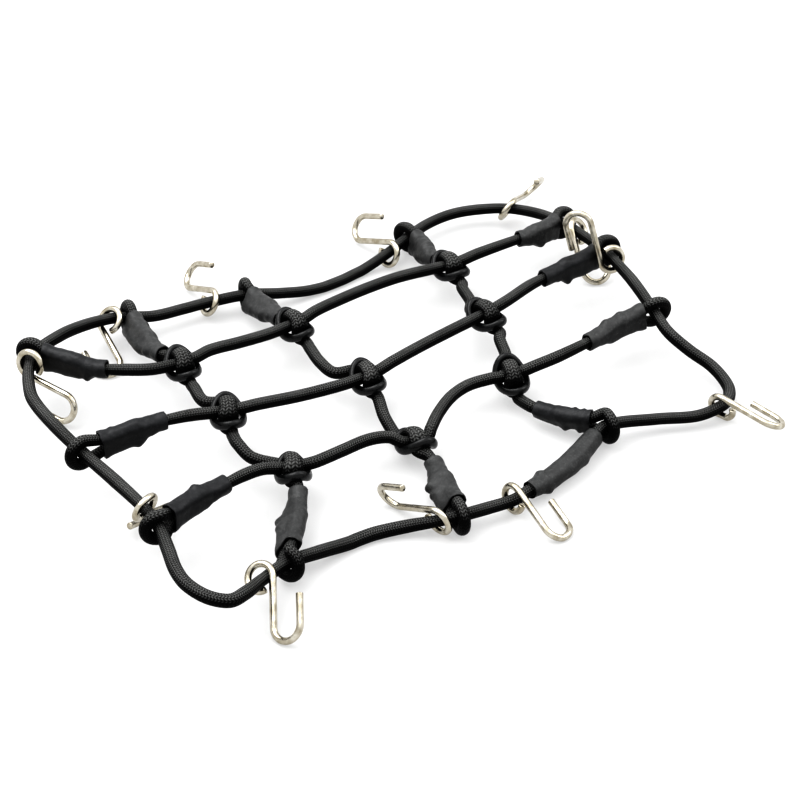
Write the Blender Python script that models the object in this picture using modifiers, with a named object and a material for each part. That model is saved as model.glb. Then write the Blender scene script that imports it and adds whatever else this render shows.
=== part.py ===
"""Small elastic cargo net lying loosely on a flat surface.

One closed edge cord, three long cords and three cross cords of round braided
elastic. Each inner cord is looped round the edge cord at both ends and held by a
heat-shrink sleeve, each crossing is clamped by a rubber ring, the edge cord is
joined by a splice sleeve, and twelve wire S-hooks hang on the edge cord.

Lengths are in millimetres until they reach Blender. X runs along the long cords,
Y along the cross cords, +Z is up, and the surface is z = 0.
"""
import math

import bmesh
import bpy
from mathutils import Matrix, Vector

MM = 0.001
NET = "cargo_net"
ORIGIN = Vector((5.5, 9.15, 0.0))    # middle of the net's box in the routes' own frame
UP = Vector((0.0, 0.0, 1.0))
GAP = 0.3                            # room kept between pieces that touch

# cords
CORD_R = 1.25                        # inner cords, slack
CORD_LOOP_R = 1.2                    # inner cord where it bends round the edge cord
CORD_HELD_R = 0.95                   # inner cord squeezed in a sleeve
NIP_R = 0.85                         # long cord squeezed under a crossing
EDGE_R = 1.3
LONGEST_STEP = 5.6                   # longest straight step along a cord

# sleeves
SLEEVE_WALL = 0.4

# rubber rings
RING_R = 0.6
RING_ALONG, RING_ACROSS = 2.9, 4.5   # half widths along and across the long cord
RING_MID, RING_SADDLE = -1.1, 1.0    # height under the long cord, and how far it waves
RING_STEPS = 16

# hooks
WIRE_R = 0.6
EYE_R = 2.6
EYE_TURN, EYE_STEPS = 292.0, 8       # degrees of wire round the eye
HOOK_REACH = 12.5                    # from the eye's centre to the outside of the bend
BEND_R, BEND_STEPS = 2.9, 5
SHANK_ENDS = 3.0                     # the points next to the eye and to the bend
TIP_LENGTH = 8.4                     # from the outside of the bend back to the tip

# The edge cord's axis, clockwise seen from above, with what sits on it there.
EDGE_ROUTE = (
    # place, x, y, z, radius
    ("long_1_left", -54.0, 54.0, 10.3, 1.15),
    ("", -46.0, 57.5, 9.4, 1.3),
    ("", -38.5, 60.2, 7.4, 1.25),
    ("hook_1", -31.8, 60.8, 5.9, 1.1),
    ("cross_1_back", -27.8, 60.0, 5.0, 1.15),
    ("", -22.5, 58.0, 4.2, 1.15),
    ("", -15.5, 57.0, 3.7, 1.15),
    ("hook_2", -10.3, 56.0, 3.6, 1.1),
    ("cross_2_back", -2.2, 52.6, 4.2, 1.15),
    ("", 5.0, 50.0, 3.0, 1.1),
    ("", 12.0, 48.6, 1.6, 1.1),
    ("", 20.0, 48.0, 0.95, 1.1),
    ("", 26.0, 48.3, 1.2, 1.1),
    ("hook_3", 33.0, 48.0, 3.1, 1.0),
    ("cross_3_back", 40.0, 49.2, 4.2, 1.15),
    ("", 47.5, 51.4, 3.8, 1.15),
    ("", 54.5, 51.3, 3.8, 1.15),
    ("", 60.5, 49.0, 3.9, 1.15),
    ("hook_4", 66.0, 44.5, 4.3, 1.0),
    ("", 68.6, 37.0, 5.7, 1.15),
    ("long_1_right", 68.4, 28.6, 7.6, 1.15),
    ("hook_6", 67.4, 21.4, 8.8, 1.0),
    ("long_2_right", 65.7, 11.2, 10.1, 1.15),
    ("hook_5", 64.5, 6.9, 10.4, 1.0),
    ("", 62.2, -2.0, 10.3, 1.25),
    ("long_3_right", 59.5, -11.6, 9.0, 1.15),
    ("", 58.0, -17.5, 7.8, 1.25),
    ("", 59.2, -23.0, 5.6, 1.25),
    ("", 60.8, -28.6, 3.8, 1.25),
    ("", 59.8, -34.3, 2.7, 1.25),
    ("", 57.0, -37.4, 2.6, 1.25),
    ("hook_7", 53.2, -38.7, 2.9, 1.1),
    ("", 47.5, -37.8, 2.7, 1.1),
    ("", 40.0, -33.8, 3.0, 1.1),
    ("cross_3_front", 29.4, -30.3, 4.2, 1.15),
    ("splice_end", 23.8, -31.6, 3.6, 1.2),
    ("splice", 18.0, -33.6, 3.2, 1.2),
    ("splice", 12.0, -34.8, 3.0, 1.2),
    ("splice_end", 4.6, -35.3, 2.9, 1.2),
    ("hook_10", 0.6, -35.6, 2.9, 1.1),
    ("", -5.5, -34.6, 3.2, 1.2),
    ("cross_2_front", -11.6, -33.8, 3.95, 1.15),
    ("hook_9", -15.6, -31.6, 3.2, 1.0),
    ("", -19.6, -28.6, 2.1, 1.3),
    ("", -25.0, -25.9, 1.4, 1.42),
    ("", -28.3, -25.2, 1.25, 1.42),
    ("", -32.0, -24.9, 1.5, 1.42),
    ("", -38.4, -25.0, 3.0, 1.35),
    ("cross_1_front", -45.8, -25.4, 4.7, 1.15),
    ("hook_8", -53.0, -27.8, 6.2, 1.0),
    ("", -59.0, -31.0, 8.5, 1.3),
    ("", -63.0, -32.0, 9.6, 1.3),
    ("", -66.0, -29.6, 10.4, 1.3),
    ("", -67.4, -25.0, 10.8, 1.3),
    ("", -66.9, -20.5, 10.8, 1.3),
    ("", -64.8, -14.5, 10.5, 1.3),
    ("long_3_left", -62.6, -7.8, 10.2, 1.15),
    ("hook_12", -61.9, -2.4, 10.2, 1.0),
    ("", -61.8, 9.0, 9.8, 1.3),
    ("long_2_left", -62.3, 20.4, 9.8, 1.15),
    ("", -62.5, 31.0, 10.1, 1.3),
    ("", -61.8, 40.5, 10.3, 1.3),
    ("", -59.6, 46.2, 10.3, 1.15),
    ("hook_11", -57.3, 50.1, 10.3, 1.0),
)

# A long cord's route names the place of each end loop and each crossing, and gives
# the points between them.
LONG_ROUTES = {
    "long_1": (
        "long_1_left", (-50.9, 48.5, 10.4), (-47.5, 42.5, 10.6), (-42.6, 37.6, 10.8),
        (-38.0, 34.4, 10.7), "cross_1", (-24.0, 33.2, 10.1), (-17.5, 32.1, 9.8),
        (-11.0, 31.4, 9.4), "cross_2", (2.6, 32.9, 8.8), (9.5, 33.4, 8.6),
        (17.0, 33.4, 8.5), (25.0, 32.7, 8.4), "cross_3", (44.2, 29.2, 8.6),
        (54.0, 28.4, 8.6), (60.5, 27.3, 8.4), "long_1_right",
    ),
    "long_2": (
        "long_2_left", (-56.5, 19.2, 10.5), (-51.5, 18.4, 11.0), (-46.2, 17.5, 11.5),
        (-40.0, 15.8, 11.3), "cross_1", (-27.0, 11.6, 10.5), (-18.5, 9.6, 9.8),
        (-10.0, 8.4, 9.0), "cross_2", (4.7, 8.6, 8.6), (13.0, 9.3, 8.7),
        (22.0, 9.5, 9.0), "cross_3", (37.7, 10.8, 9.0), (44.3, 11.8, 9.3),
        (50.5, 11.9, 9.5), (57.0, 11.2, 9.6), (61.5, 11.0, 9.9), "long_2_right",
    ),
    "long_3": (
        "long_3_left", (-57.0, -6.4, 10.2), (-50.7, -5.2, 10.1), (-45.2, -4.8, 10.0),
        (-41.0, -4.4, 9.7), (-36.8, -4.4, 9.1), "cross_1", (-26.3, -7.8, 8.0),
        (-20.4, -7.9, 7.8), (-13.7, -7.5, 7.0), (-9.4, -8.6, 6.3), "cross_2",
        (-0.6, -11.0, 5.8), (3.7, -8.0, 5.8), (9.0, -5.5, 6.0), (14.0, -4.8, 6.2),
        (18.8, -6.0, 6.4), "cross_3", (28.4, -9.1, 7.2), (33.8, -10.1, 7.8),
        (41.5, -10.3, 8.0), (50.0, -10.2, 8.2), (55.5, -10.6, 8.5), "long_3_right",
    ),
}

# A crossing is a point on the long cord's axis. It tilts towards the front, and the
# front of its hump turns to the left of square.
CROSSINGS = {
    # (cross cord, long cord): (x, y, z, tilt, turn in degrees)
    ("cross_1", "long_1"): (-30.8, 33.2, 10.1, 8.0, 4.0),
    ("cross_2", "long_1"): (-3.3, 32.2, 8.6, 8.0, 4.0),
    ("cross_3", "long_1"): (37.2, 30.1, 8.2, 3.0, -6.0),
    ("cross_1", "long_2"): (-32.8, 13.4, 10.6, 7.0, 4.0),
    ("cross_2", "long_2"): (-1.7, 8.5, 8.1, 8.0, 8.0),
    ("cross_3", "long_2"): (31.3, 10.4, 8.6, 8.0, 0.0),
    ("cross_1", "long_3"): (-31.0, -6.3, 8.1, -10.0, 6.0),
    ("cross_2", "long_3"): (-4.7, -11.2, 5.0, -18.0, -14.0),
    ("cross_3", "long_3"): (23.4, -7.6, 6.5, 25.0, 0.0),
}

CROSS_ROUTES = {
    "cross_1": (
        "cross_1_back", (-29.6, 54.0, 5.7), (-31.0, 47.0, 6.7), (-31.2, 40.5, 7.8),
        "long_1", (-32.6, 26.5, 8.2), (-33.6, 21.2, 8.4),
        "long_2", (-35.8, 5.6, 8.2), (-35.2, 1.6, 7.1),
        "long_3", (-35.0, -13.2, 5.4), (-39.2, -17.4, 5.1), (-42.8, -21.4, 4.9),
        "cross_1_front",
    ),
    "cross_2": (
        "cross_2_back", (-3.2, 47.5, 5.0), (-3.3, 41.0, 6.2),
        "long_1", (-4.6, 25.0, 6.5), (-5.6, 20.0, 6.3), (-5.2, 15.5, 6.1),
        "long_2", (-4.3, -0.6, 3.7),
        "long_3", (-5.2, -18.0, 3.4), (-7.4, -22.6, 3.5), (-9.6, -27.6, 3.6),
        "cross_2_front",
    ),
    "cross_3": (
        "cross_3_back", (39.6, 44.5, 4.6), (38.0, 39.5, 5.4),
        "long_1", (35.2, 23.5, 6.2), (33.2, 18.0, 6.3),
        "long_2", (29.7, 4.0, 6.0), (27.6, -0.6, 5.2),
        "long_3", (22.0, -15.6, 3.5), (23.6, -20.4, 3.7), (26.6, -25.6, 4.0),
        "cross_3_front",
    ),
}

# Each end sleeve runs from its mouth to its neck, measured from the edge cord's axis,
# and rolls about itself so that the tail of its cord lies to one side.
SLEEVES = {
    # place: (mouth, neck, roll in degrees)
    "long_1_left": (2.9, 17.0, 0.0),
    "long_1_right": (2.9, 13.6, 0.0),
    "long_2_left": (3.9, 17.6, 0.0),
    "long_2_right": (2.9, 17.4, 0.0),
    "long_3_left": (2.9, 17.4, 0.0),
    "long_3_right": (2.9, 18.0, 0.0),
    "cross_1_back": (3.1, 20.0, -48.0),
    "cross_1_front": (3.6, 19.4, 60.0),
    "cross_2_back": (2.9, 15.4, -55.0),
    "cross_2_front": (3.0, 17.8, 65.0),
    "cross_3_back": (2.9, 13.6, -25.0),
    "cross_3_front": (3.1, 15.2, -30.0),
}
PAST_NECK = 1.2                      # the cord's own route takes over this far on
MOUTH_ROLL, ROLLED_BY = 0.5, 0.3     # share of the roll at the mouth, and where it is whole

# Each hook: how far its eye's centre sits off the edge cord's axis, its shank's
# heading and slope, and the turn about the shank of its eye and of its bend, in
# degrees. Zero turn is level, to the right of the heading.
HOOKS = (
    # place, off x, off y, off z, heading, slope, eye turn, bend turn
    ("hook_1", -0.4, -0.5, 0.0, -99.0, -13.5, -42.0, -12.5),
    ("hook_2", 0.5, -0.2, 0.1, 92.0, -24.5, 56.0, 47.0),
    ("hook_3", 0.5, -0.3, 0.1, 100.0, -22.0, 64.0, 54.0),
    ("hook_4", -0.1, 0.0, 0.0, 36.0, -25.0, 59.0, 50.0),
    ("hook_5", -0.4, 0.4, 0.2, 105.0, 70.5, -152.0, -109.0),
    ("hook_6", 0.6, 1.2, -0.2, -104.0, -47.0, 33.0, 171.0),
    ("hook_7", 0.2, -0.4, 0.1, -77.0, -7.0, 82.0, -158.0),
    ("hook_8", -0.1, 0.8, -0.1, -125.0, -35.0, 153.5, 147.5),
    ("hook_9", 0.4, -0.3, 0.1, 97.0, -27.0, 99.5, 110.5),
    ("hook_10", 0.0, 0.1, 0.3, -94.0, -20.0, 99.0, -164.0),
    ("hook_11", 0.8, 0.8, 0.4, -66.5, -9.5, -74.0, -66.0),
    ("hook_12", -0.1, 0.3, 0.6, 24.0, -23.0, -108.5, -135.5),
)

# The two legs of an end loop. Along is a share of the sleeve, from mouth to neck.
LEG_BOTH = ((0.0, 1.45, CORD_HELD_R), (0.15, 1.15, CORD_HELD_R), (0.5, 1.15, CORD_HELD_R))
LEG_LONG = ((0.7, 0.5, CORD_HELD_R), (0.84, 0.0, CORD_HELD_R), (1.0, 0.0, CORD_HELD_R))

SLEEVE_SECTIONS = (
    # along, half height, half width
    (0.0, 3.3, 1.85),
    (0.15, 2.85, 1.8),
    (0.38, 2.8, 1.8),
    (0.57, 2.8, 1.85),
    (0.72, 2.2, 1.8),
    (0.86, 1.9, 1.8),
    (1.0, 1.95, 1.8),
)
SPLICE_SECTIONS = (
    # along, half height, half width
    (0.0, 2.05, 1.9),
    (0.2, 2.2, 2.05),
    (0.4, 2.35, 2.2),
    (0.6, 2.3, 2.15),
    (0.8, 2.15, 2.0),
    (1.0, 2.05, 1.9),
)
LOOP_FIRST, LOOP_LAST, LOOP_STEPS = 75.0, 285.0, 6   # degrees round the edge cord

# The cross cord's hump over the long cord, mirrored about the middle.
HUMP = (
    # across the long cord, above its axis, radius
    (4.7, -2.5, CORD_R),
    (4.0, -2.35, 1.2),
    (2.8, -1.5, 1.05),
    (2.3, -0.3, 0.95),
    (2.05, 0.8, 0.95),
    (1.2, 1.8, 0.95),
    (0.0, 2.15, 1.0),
)
NIP_REACH = 2.6                      # the long cord is squeezed this far each way

FLOOR_BLOCK = (0.3, 0.3, 0.02)       # metres; its top is the surface
RESTING = ("edge_cord", "hook_1", "hook_7", "hook_10")


# --- lines through space ---------------------------------------------------------

def spline_point(points, index, share, closed):
    """Point on a Catmull-Rom curve, a share of the way from points[index]."""
    count = len(points)

    def pick(place):
        if closed:
            return points[place % count]
        return points[min(max(place, 0), count - 1)]

    p0, p1, p2, p3 = (pick(index + step) for step in (-1, 0, 1, 2))
    span = (p2 - p1).length
    into = (p2 - p0) * (span / max((p2 - p1).length + (p1 - p0).length, 1e-6))
    away = (p3 - p1) * (span / max((p3 - p2).length + (p2 - p1).length, 1e-6))
    s2, s3 = share ** 2, share ** 3
    return (p1 * (2 * s3 - 3 * s2 + 1) + into * (s3 - 2 * s2 + share)
            + p2 * (3 * s2 - 2 * s3) + away * (s3 - s2))


def fill_line(points, radii, longest, closed=False):
    """The same line with points added where a step is longer than longest."""
    line, sizes = [], []
    last = len(points) if closed else len(points) - 1
    for index in range(last):
        follow = (index + 1) % len(points)
        steps = max(1, math.ceil((points[follow] - points[index]).length / longest))
        for step in range(steps):
            share = step / steps
            line.append(spline_point(points, index, share, closed))
            sizes.append(radii[index] * (1 - share) + radii[follow] * share)
    if not closed:
        line.append(points[-1])
        sizes.append(radii[-1])
    return line, sizes


def walk(line, distance):
    """Point and direction at a distance along a line."""
    for start, end in zip(line, line[1:]):
        length = (end - start).length
        if distance <= length:
            break
        distance -= length
    direction = (end - start).normalized()
    return start + direction * distance, direction


def upright(direction):
    """Side and up directions square to a direction that runs roughly level."""
    side = direction.cross(UP).normalized()
    return side, side.cross(direction)


# --- where things lie --------------------------------------------------------------

def edge_places():
    return {row[0]: (Vector(row[1:4]), row[4]) for row in EDGE_ROUTE if row[0]}


def crossing_frame(cross_name, long_name):
    """Middle of a crossing, and its directions along, across and above the long cord."""
    route = LONG_ROUTES[long_name]
    index = route.index(cross_name)
    x, y, z, tilt, turn = CROSSINGS[cross_name, long_name]
    along = (Vector(route[index + 1]) - Vector(route[index - 1])).normalized()
    across = UP.cross(along).normalized()
    across = Matrix.Rotation(math.radians(tilt), 3, along) @ across
    above = along.cross(across)
    across = Matrix.Rotation(math.radians(-turn), 3, above) @ across
    return Vector((x, y, z)), along, across, above


def middle_of_long(name):
    """Points and radii of a long cord from one end place to the other."""
    places = edge_places()
    points, radii = [], []
    for stop in LONG_ROUTES[name]:
        if stop in places:
            points.append(places[stop][0])
            radii.append(CORD_R)
        elif stop in CROSS_ROUTES:
            middle, along, _, _ = crossing_frame(stop, name)
            for reach, radius in ((-NIP_REACH, CORD_R), (0, NIP_R), (NIP_REACH, CORD_R)):
                points.append(middle + along * reach)
                radii.append(radius)
        else:
            points.append(Vector(stop))
            radii.append(CORD_R)
    return points, radii


def hump(cross_name, long_name):
    """The cross cord's way up through the ring, over the long cord and down again."""
    middle, _, across, above = crossing_frame(cross_name, long_name)
    rows = [row for row in HUMP] + [(-row[0], row[1], row[2]) for row in HUMP[-2::-1]]
    points = [middle + across * row[0] + above * row[1] for row in rows]
    return points, [row[2] for row in rows]


def middle_of_cross(name):
    """Points and radii of a cross cord from its back end place to its front one."""
    places = edge_places()
    points, radii = [], []
    for stop in CROSS_ROUTES[name]:
        if stop in places:
            points.append(places[stop][0])
            radii.append(CORD_R)
        elif stop in LONG_ROUTES:
            over, sizes = hump(name, stop)
            points += over
            radii += sizes
        else:
            points.append(Vector(stop))
            radii.append(CORD_R)
    return points, radii


def sleeve_station(place, line, share):
    """Point, direction, side and up at a share of an end sleeve's length."""
    mouth, neck, roll = SLEEVES[place]
    point, direction = walk(line, mouth + share * (neck - mouth))
    turned = MOUTH_ROLL + (1.0 - MOUTH_ROLL) * min(1.0, share / ROLLED_BY)
    rolling = Matrix.Rotation(math.radians(roll * turned), 3, direction)
    side, above = upright(direction)
    return point, direction, rolling @ side, rolling @ above


def edge_direction(place):
    """Direction of the edge cord where something is looped round it."""
    index = [row[0] for row in EDGE_ROUTE].index(place)
    before, after = EDGE_ROUTE[index - 1], EDGE_ROUTE[(index + 1) % len(EDGE_ROUTE)]
    return (Vector(after[1:4]) - Vector(before[1:4])).normalized()


def end_loop(place, line):
    """Tail, loop round the edge cord and long leg, ending at the sleeve's neck."""
    centre, edge_radius = edge_places()[place]
    inward = sleeve_station(place, line, 0.0)[0] - centre
    edge_way = edge_direction(place)
    inward = (inward - edge_way * inward.dot(edge_way)).normalized()
    above = inward.cross(edge_way).normalized()
    above *= math.copysign(1.0, above.z)
    loop_r = edge_radius + CORD_LOOP_R + GAP

    def leg(rows, sign):
        points = []
        for share, height, _ in rows:
            point, _, _, leg_up = sleeve_station(place, line, share)
            points.append(point + leg_up * height * sign)
        return points

    turn = (LOOP_LAST - LOOP_FIRST) / LOOP_STEPS
    angles = [math.radians(LOOP_LAST - turn * step) for step in range(LOOP_STEPS + 1)]
    loop = [centre + (inward * math.cos(angle) + above * math.sin(angle)) * loop_r
            for angle in angles]
    points = leg(LEG_BOTH[::-1], -1) + loop + leg(LEG_BOTH + LEG_LONG, 1)
    radii = ([row[2] for row in LEG_BOTH[::-1]] + [CORD_LOOP_R] * len(loop)
             + [row[2] for row in LEG_BOTH + LEG_LONG])
    return points, radii


def past_reach(points, radii, reach):
    """The part of a line that lies more than reach along it."""
    travelled, keep = 0.0, len(points)
    for index in range(1, len(points)):
        travelled += (points[index] - points[index - 1]).length
        if travelled > reach:
            keep = index
            break
    return points[keep:], radii[keep:]


def inner_cord_line(name):
    """Whole line of an inner cord, tail to tail, with its radii."""
    is_long = name in LONG_ROUTES
    points, radii = (middle_of_long if is_long else middle_of_cross)(name)
    route = (LONG_ROUTES if is_long else CROSS_ROUTES)[name]
    first, last = route[0], route[-1]
    fine, _ = fill_line(points, radii, 1.0)
    head, head_radii = end_loop(first, fine)
    foot, foot_radii = end_loop(last, fine[::-1])
    points, radii = past_reach(points, radii, SLEEVES[first][1] + PAST_NECK)
    points, radii = past_reach(points[::-1], radii[::-1], SLEEVES[last][1] + PAST_NECK)
    points, radii = points[::-1], radii[::-1]
    return (head + points + foot[::-1], head_radii + radii + foot_radii[::-1])


# --- making solids -----------------------------------------------------------------

def material(name, colour, roughness, metallic=0.0):
    made = bpy.data.materials.new(name)
    made.use_nodes = True
    shader = made.node_tree.nodes["Principled BSDF"]
    shader.inputs["Base Color"].default_value = (*colour, 1.0)
    shader.inputs["Roughness"].default_value = roughness
    shader.inputs["Metallic"].default_value = metallic
    return made


def tube(name, points, radii, collection, made_of, sides=8, closed=False):
    """Round rod along a line, as a curve object."""
    base = max(radii)
    curve = bpy.data.curves.new(name, "CURVE")
    curve.dimensions = "3D"
    curve.bevel_depth = base * MM
    curve.bevel_resolution = sides // 2 - 2
    curve.use_fill_caps = True
    curve.render_resolution_u = 0
    spline = curve.splines.new("POLY")
    spline.points.add(len(points) - 1)
    for knot, point, radius in zip(spline.points, points, radii):
        knot.co = (*((point - ORIGIN) * MM), 1.0)
        knot.radius = radius / base
    spline.use_cyclic_u = closed
    spline.use_smooth = True
    curve.materials.append(made_of)
    rod = bpy.data.objects.new(name, curve)
    collection.objects.link(rod)
    return rod


def stadium(half_height, half_width):
    """Outline of an upright oval with straight sides, as (sideways, up) pairs."""
    corner = half_height - half_width
    for centre, first in ((corner, 0), (-corner, 180)):
        for step in range(5):
            angle = math.radians(first + 45 * step)
            yield half_width * math.cos(angle), centre + half_width * math.sin(angle)


def sleeve(name, stations, sections, collection, made_of):
    """Thin tube lofted through upright ovals, open at both ends."""
    shape = bmesh.new()
    rings = []
    for (point, _, side, above), (_, half_height, half_width) in zip(stations, sections):
        rings.append([shape.verts.new((point + side * across + above * up - ORIGIN) * MM)
                      for across, up in stadium(half_height, half_width)])
    for ring, follow in zip(rings, rings[1:]):
        count = len(ring)
        for index in range(count):
            after = (index + 1) % count
            shape.faces.new((ring[index], ring[after], follow[after], follow[index]))
    bmesh.ops.recalc_face_normals(shape, faces=shape.faces)
    mesh = bpy.data.meshes.new(name)
    shape.to_mesh(mesh)
    shape.free()
    mesh.materials.append(made_of)
    mesh.shade_smooth()
    tube_object = bpy.data.objects.new(name, mesh)
    wall = tube_object.modifiers.new("wall", "SOLIDIFY")
    wall.thickness = SLEEVE_WALL * MM
    wall.offset = -1.0
    wall.use_even_offset = True
    collection.objects.link(tube_object)
    return tube_object


def floor_cutter(collection):
    """Large block whose top is the surface the net lies on."""
    mesh = bpy.data.meshes.new("floor_cutter")
    shape = bmesh.new()
    bmesh.ops.create_cube(shape, size=1.0, matrix=Matrix.Translation((0, 0, -0.5)))
    bmesh.ops.scale(shape, vec=FLOOR_BLOCK, verts=shape.verts)
    shape.to_mesh(mesh)
    shape.free()
    cutter = bpy.data.objects.new("floor_cutter", mesh)
    cutter.hide_render = True
    cutter.display_type = "WIRE"
    collection.objects.link(cutter)
    return cutter


def flatten_underside(rod, cutter, collection):
    """Turn a rod into a mesh and cut it level where it presses on the surface."""
    bpy.context.view_layer.update()
    evaluated = rod.evaluated_get(bpy.context.evaluated_depsgraph_get())
    mesh = bpy.data.meshes.new_from_object(evaluated)
    shape = bmesh.new()
    shape.from_mesh(mesh)
    bmesh.ops.remove_doubles(shape, verts=shape.verts, dist=1e-6)
    shape.to_mesh(mesh)
    shape.free()
    name, place = rod.name, rod.matrix_world.copy()
    bpy.data.objects.remove(rod)
    flat = bpy.data.objects.new(name, mesh)
    flat.matrix_world = place
    cut = flat.modifiers.new("rests_flat", "BOOLEAN")
    cut.operation = "DIFFERENCE"
    cut.solver = "EXACT"
    cut.object = cutter
    collection.objects.link(flat)
    return flat


# --- the pieces ----------------------------------------------------------------------

def make_edge_cord(collection, made_of):
    points = [Vector(row[1:4]) for row in EDGE_ROUTE]
    points, radii = fill_line(points, [row[4] for row in EDGE_ROUTE], LONGEST_STEP + 1, True)
    return [tube("edge_cord", points, radii, collection, made_of, closed=True)]


def make_inner_cords(collection, made_of):
    cords = []
    for name in (*LONG_ROUTES, *CROSS_ROUTES):
        points, radii = fill_line(*inner_cord_line(name), LONGEST_STEP)
        cords.append(tube(name + "_cord", points, radii, collection, made_of))
    return cords


def make_sleeves(collection, made_of):
    for route in (*LONG_ROUTES.items(), *CROSS_ROUTES.items()):
        name, stops = route
        points, radii = (middle_of_long if name in LONG_ROUTES else middle_of_cross)(name)
        fine, _ = fill_line(points, radii, 1.0)
        for place, line in ((stops[0], fine), (stops[-1], fine[::-1])):
            stations = [sleeve_station(place, line, row[0]) for row in SLEEVE_SECTIONS]
            sleeve(place + "_sleeve", stations, SLEEVE_SECTIONS, collection, made_of)


def make_splice(collection, made_of):
    names = [row[0] for row in EDGE_ROUTE]
    first = names.index("splice_end")
    points = [Vector(row[1:4]) for row in EDGE_ROUTE]
    line, _ = fill_line(points[first - 1:first + 5], [EDGE_R] * 6, 1.0)
    start = min(range(len(line)), key=lambda i: (line[i] - points[first]).length)
    end = min(range(len(line)), key=lambda i: (line[i] - points[first + 3]).length)
    line = line[start:end + 1]
    length = sum((after - before).length for before, after in zip(line, line[1:]))
    stations = []
    for share, _, _ in SPLICE_SECTIONS:
        point, direction = walk(line, share * length)
        stations.append((point, direction, *upright(direction)))
    sleeve("splice_sleeve", stations, SPLICE_SECTIONS, collection, made_of)


def make_rings(collection, made_of):
    for cross_name, long_name in CROSSINGS:
        middle, along, across, above = crossing_frame(cross_name, long_name)
        points = []
        for step in range(RING_STEPS):
            turn = 2 * math.pi * step / RING_STEPS
            height = RING_MID - RING_SADDLE * math.cos(2 * turn)
            points.append(middle + along * RING_ALONG * math.cos(turn)
                          + across * RING_ACROSS * math.sin(turn) + above * height)
        tube(f"ring_{cross_name}_{long_name}", points, [RING_R] * RING_STEPS, collection,
             made_of, sides=6, closed=True)


def hook_line(centre, heading, slope, eye_turn, bend_turn):
    """Wire of one S-hook: round its eye, along the shank, round the bend to the tip."""
    heading, slope = math.radians(heading), math.radians(slope)
    along = Vector((math.cos(slope) * math.cos(heading),
                    math.cos(slope) * math.sin(heading), math.sin(slope)))
    side, above = upright(along)

    def turned(degrees):
        return side * math.cos(math.radians(degrees)) + above * math.sin(math.radians(degrees))

    eye_side, bend_side = turned(eye_turn), turned(bend_turn)
    points = []
    for step in range(EYE_STEPS):
        angle = math.radians(EYE_TURN * (1 - step / EYE_STEPS))
        points.append(centre + (eye_side * math.cos(angle) - along * math.sin(angle)) * EYE_R)
    base = centre + eye_side * EYE_R
    corner = base + along * (HOOK_REACH - BEND_R)
    points += [base, base + along * SHANK_ENDS, corner - along * SHANK_ENDS]
    for step in range(BEND_STEPS + 1):
        angle = math.pi * step / BEND_STEPS
        points.append(corner + bend_side * BEND_R * (1 - math.cos(angle))
                      + along * BEND_R * math.sin(angle))
    points.append(base + bend_side * 2 * BEND_R + along * (HOOK_REACH - TIP_LENGTH))
    return points


def make_hooks(collection, made_of):
    places = edge_places()
    hooks = []
    for place, x, y, z, *pose in HOOKS:
        points = hook_line(places[place][0] + Vector((x, y, z)), *pose)
        hooks.append(tube(place, points, [WIRE_R] * len(points), collection, made_of))
    return hooks


def main():
    for item in list(bpy.data.objects):
        bpy.data.objects.remove(item)
    net = bpy.data.collections.new(NET)
    cutters = bpy.data.collections.new("cutters")
    for collection in (net, cutters):
        bpy.context.scene.collection.children.link(collection)
    braid = material("braided_elastic", (0.018, 0.02, 0.019), 0.75)
    shrink = material("heat_shrink", (0.035, 0.038, 0.042), 0.55)
    rubber = material("rubber", (0.012, 0.013, 0.014), 0.3)
    wire = material("nickel_wire", (0.8, 0.76, 0.68), 0.18, 1.0)
    rods = make_edge_cord(net, braid) + make_inner_cords(net, braid)
    make_sleeves(net, shrink)
    make_splice(net, shrink)
    make_rings(net, rubber)
    rods += make_hooks(net, wire)
    cutter = floor_cutter(cutters)
    for rod in rods:
        if rod.name in RESTING:
            flatten_underside(rod, cutter, net)


main()
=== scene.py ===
"""Looks of the small elastic cargo net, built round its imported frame.

The tables repeat the solids' own, in millimetres: X along the long cords, Y along the
cross cords, +Z up, the surface at z = 0. Every piece is made in metres.
"""
import math

import bpy
import numpy as np
from mathutils import Matrix, Vector, noise


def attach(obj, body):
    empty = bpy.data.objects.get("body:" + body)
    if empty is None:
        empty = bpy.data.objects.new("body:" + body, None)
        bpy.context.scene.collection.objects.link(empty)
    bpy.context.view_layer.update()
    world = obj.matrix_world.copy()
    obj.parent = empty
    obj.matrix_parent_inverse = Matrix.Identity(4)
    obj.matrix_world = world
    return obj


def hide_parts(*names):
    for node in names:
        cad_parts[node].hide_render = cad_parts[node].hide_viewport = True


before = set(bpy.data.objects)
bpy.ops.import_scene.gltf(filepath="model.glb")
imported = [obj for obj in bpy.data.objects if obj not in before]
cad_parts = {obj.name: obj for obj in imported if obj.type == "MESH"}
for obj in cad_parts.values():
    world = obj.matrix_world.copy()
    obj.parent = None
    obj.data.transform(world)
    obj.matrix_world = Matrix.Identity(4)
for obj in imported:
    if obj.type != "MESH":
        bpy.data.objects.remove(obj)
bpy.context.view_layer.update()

MM = 0.001
ORIGIN = Vector((5.5, 9.15, 0.0))    # middle of the net's box in the tables' own frame
UP = Vector((0.0, 0.0, 1.0))
GAP = 0.3                            # room kept between pieces that touch

# cords
CORD_R = 1.25                        # inner cords, slack
CORD_LOOP_R = 1.2                    # inner cord where it bends round the edge cord
CORD_HELD_R = 0.95                   # inner cord squeezed in a sleeve
NIP_R = 0.85                         # long cord squeezed under a crossing
EDGE_R = 1.3

# sleeves
SLEEVE_WALL = 0.4

# rubber rings
RING_SADDLE = 1.0                    # how far a ring waves up and down
RING_STEPS = 16

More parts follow.
